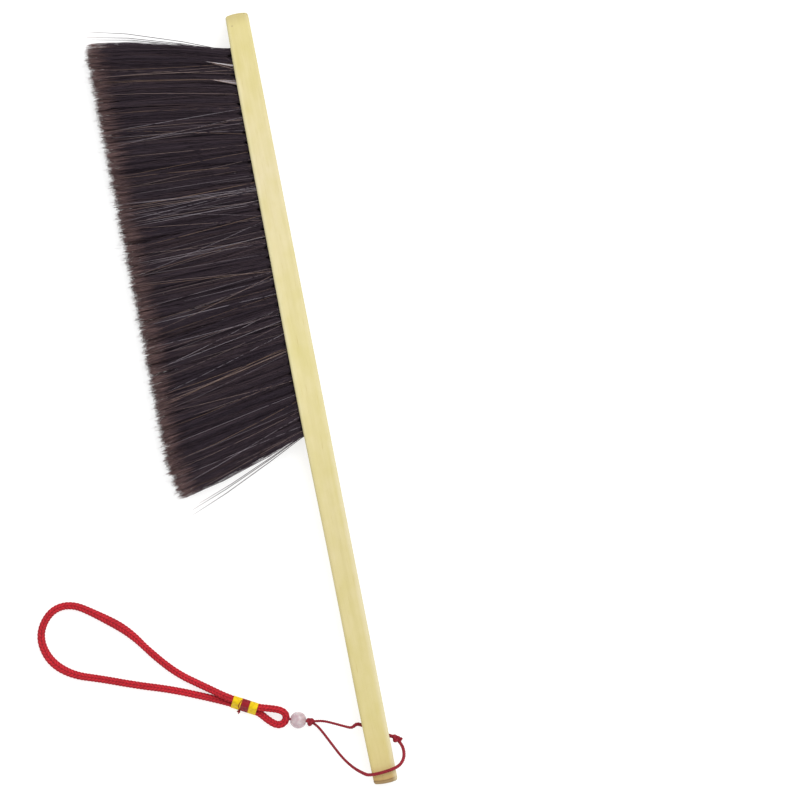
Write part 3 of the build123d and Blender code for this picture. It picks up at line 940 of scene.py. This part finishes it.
def painted_edge_highlights(made, body, axes, along, low, high):
    """Painted highlights: a paler strip beside the bristles, from the head to the grip, where that edge
    would catch the light, and one along the back of the grip.
    """
    across = between(made, axes[0], low.x, low.x + 3.4 * MM, 1.0, 0.0)
    upper = ramp(made, along, [(0.38, (0, 0, 0)), (0.55, (1, 1, 1))])
    strip = math_node(made, "MULTIPLY", math_node(made, "MULTIPLY", across, upper), 0.7)
    # painted highlight: the edge beside the bristles made paler, as where it catches the light
    body = mix(made, strip, body, (0.65, 0.60, 0.38))
    back = between(made, axes[0], high.x - 2.6 * MM, high.x - 0.6 * MM)
    lower = ramp(made, along, [(0.40, (1, 1, 1)), (0.60, (0.25, 0.25, 0.25))])
    strip = math_node(made, "MULTIPLY", math_node(made, "MULTIPLY", back, lower), 0.6)
    # painted highlight along the back edge of the grip
    return mix(made, strip, body, (0.62, 0.56, 0.38))


def grained(made, body, grain):
    """The colour with streaks of grain, soft patches and fine short pores."""
    streaks = ramp(made, grain, [(0.35, (0.955, 0.95, 0.92)), (0.6, (1, 1, 1))])
    body = mix(made, 1.0, body, streaks, "MULTIPLY")
    mottle = noise(made, object_place(made, (1, 0.5, 1)), 130, 3)
    patches = ramp(made, mottle, [(0.3, (0.95, 0.95, 0.86)), (0.7, (1.03, 1.03, 1.12))])
    body = mix(made, 1.0, body, patches, "MULTIPLY")
    pores = noise(made, object_place(made, (2600, 110, 2600)), 1.0, 2)
    specks = ramp(made, pores, [(0.26, (0.90, 0.87, 0.80)), (0.36, (1, 1, 1))])
    return mix(made, 1.0, body, specks, "MULTIPLY")


SPOTS = [  # centre and radius of each dark spot near the head, in mm
    ((33.3, 194.0, 16.0), 0.55),
    ((40.4, 199.3, 15.5), 0.6),
    ((41.7, 198.4, 15.5), 0.5),
]


def spotted(made, body, place):
    """The colour with the few dark spots."""
    for centre, radius in SPOTS:
        inputs = {0: place, 1: tuple(np.array(centre) * MM)}
        away = add_node(made, "VectorMath", inputs, operation="DISTANCE").outputs["Value"]
        inside = between(made, away, 0.3 * radius * MM, radius * MM, 0.7, 0.0)
        body = mix(made, inside, body, (0.27, 0.22, 0.13))
    return body


def pale_wood():
    """Smooth pale wood with fine straight grain, yellower at the head and darker at the butt, with painted
    highlights along two edges and painted shade at the end of the grip.
    """
    made, shader = new_material("pale_wood", 0.5, 0.3)
    place = object_place(made)
    axes = add_node(made, "SeparateXYZ", {0: place}).outputs
    low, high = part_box("handle")
    along = between(made, axes[1], low.y, high.y)
    body = wood_lengthwise(made, along)
    # painted shade at the rounded end of the grip
    body = butt_tone_and_shade(made, body, axes, low, high)
    # painted highlights along two edges of the handle
    body = painted_edge_highlights(made, body, axes, along, low, high)
    grain = noise(made, object_place(made, (520, 9, 520)), 1.0, 4)
    body = spotted(made, grained(made, body, grain), place)
    paint(made, shader, body)
    add_bump(made, shader, grain, 0.25, 0.06 * MM)
    return made


def flat_wire():
    """Drawn steel wire with fine lines along it."""
    made, shader = new_material("flat_wire", 0.35)
    shader.inputs["Metallic"].default_value = 1.0
    lines = noise(made, object_place(made, (4000, 300, 4000)), 1.0, 2)
    paint(made, shader, ramp(made, lines, [(0.3, (0.45, 0.45, 0.44)), (0.7, (0.66, 0.65, 0.63))]))
    return made


def dress_node(name, material):
    """Put one material on a node that is shown as it is."""
    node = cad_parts[name]
    node.data.materials.clear()
    node.data.materials.append(material)


# ---------------------------------------------------------------- the brush
make_camera()
make_floor()
make_light()

# the last colour of each cord is its painted shade in low relief
red_braid = cord_cloth("red_braid", (0.57, 0.015, 0.028), (0.40, 0.009, 0.018), (0.20, 0.004, 0.009))
red_twist = cord_cloth("red_twist", (0.30, 0.016, 0.030), (0.20, 0.011, 0.021), (0.06, 0.003, 0.006))
yellow_silk = silk("yellow_silk", (0.75, 0.53, 0.003), (0.56, 0.37, 0.002))
maroon_silk = silk("maroon_silk", (0.29, 0.009, 0.018), (0.15, 0.005, 0.010))

wrist_cord, wrist_line = make_wrist_cord(red_braid)
hang_cord, hang_line = make_hang_cord(red_twist)
threads = {"yellow_thread": yellow_silk, "maroon_thread": maroon_silk}
bands = [make_band(name, start, length, threads[slot]) for name, slot, start, length in BANDS]
thread_end = make_thread_end(maroon_silk)
bead = make_bead(pink_stone())
bead_knot = make_knot(
    "bead_knot_tied", "bead_knot", BEAD_CENTRE + BEAD_AXIS * 6.1 * MM, BEAD_AXIS,
    np.array([0.50, 0.56, 0.42]) * MM, 0.74 * MM, red_twist,
)
END_KNOT = np.array([45.6, -178.7, 8.0]) * MM
end_knot = make_knot(
    "end_knot_tied", "end_knot", END_KNOT, (0.78, -0.62, 0),
    np.array([0.62, 0.50, 0.42]) * MM, 0.72 * MM, red_twist,
    tail=(END_KNOT, END_KNOT + np.array([1.4, -1.6, 0.3]) * MM, END_KNOT + np.array([2.9, -0.3, 0.7]) * MM),
)

filament = filament_material()
for level, row_name in enumerate(TUFTS):
    make_row(row_name, level, filament)
make_strays(filament)
make_painted_glints(filament)

dress_node("handle", pale_wood())
wire = flat_wire()
for row_name in TUFTS:
    dress_node(f"anchors_{row_name}_row", wire)
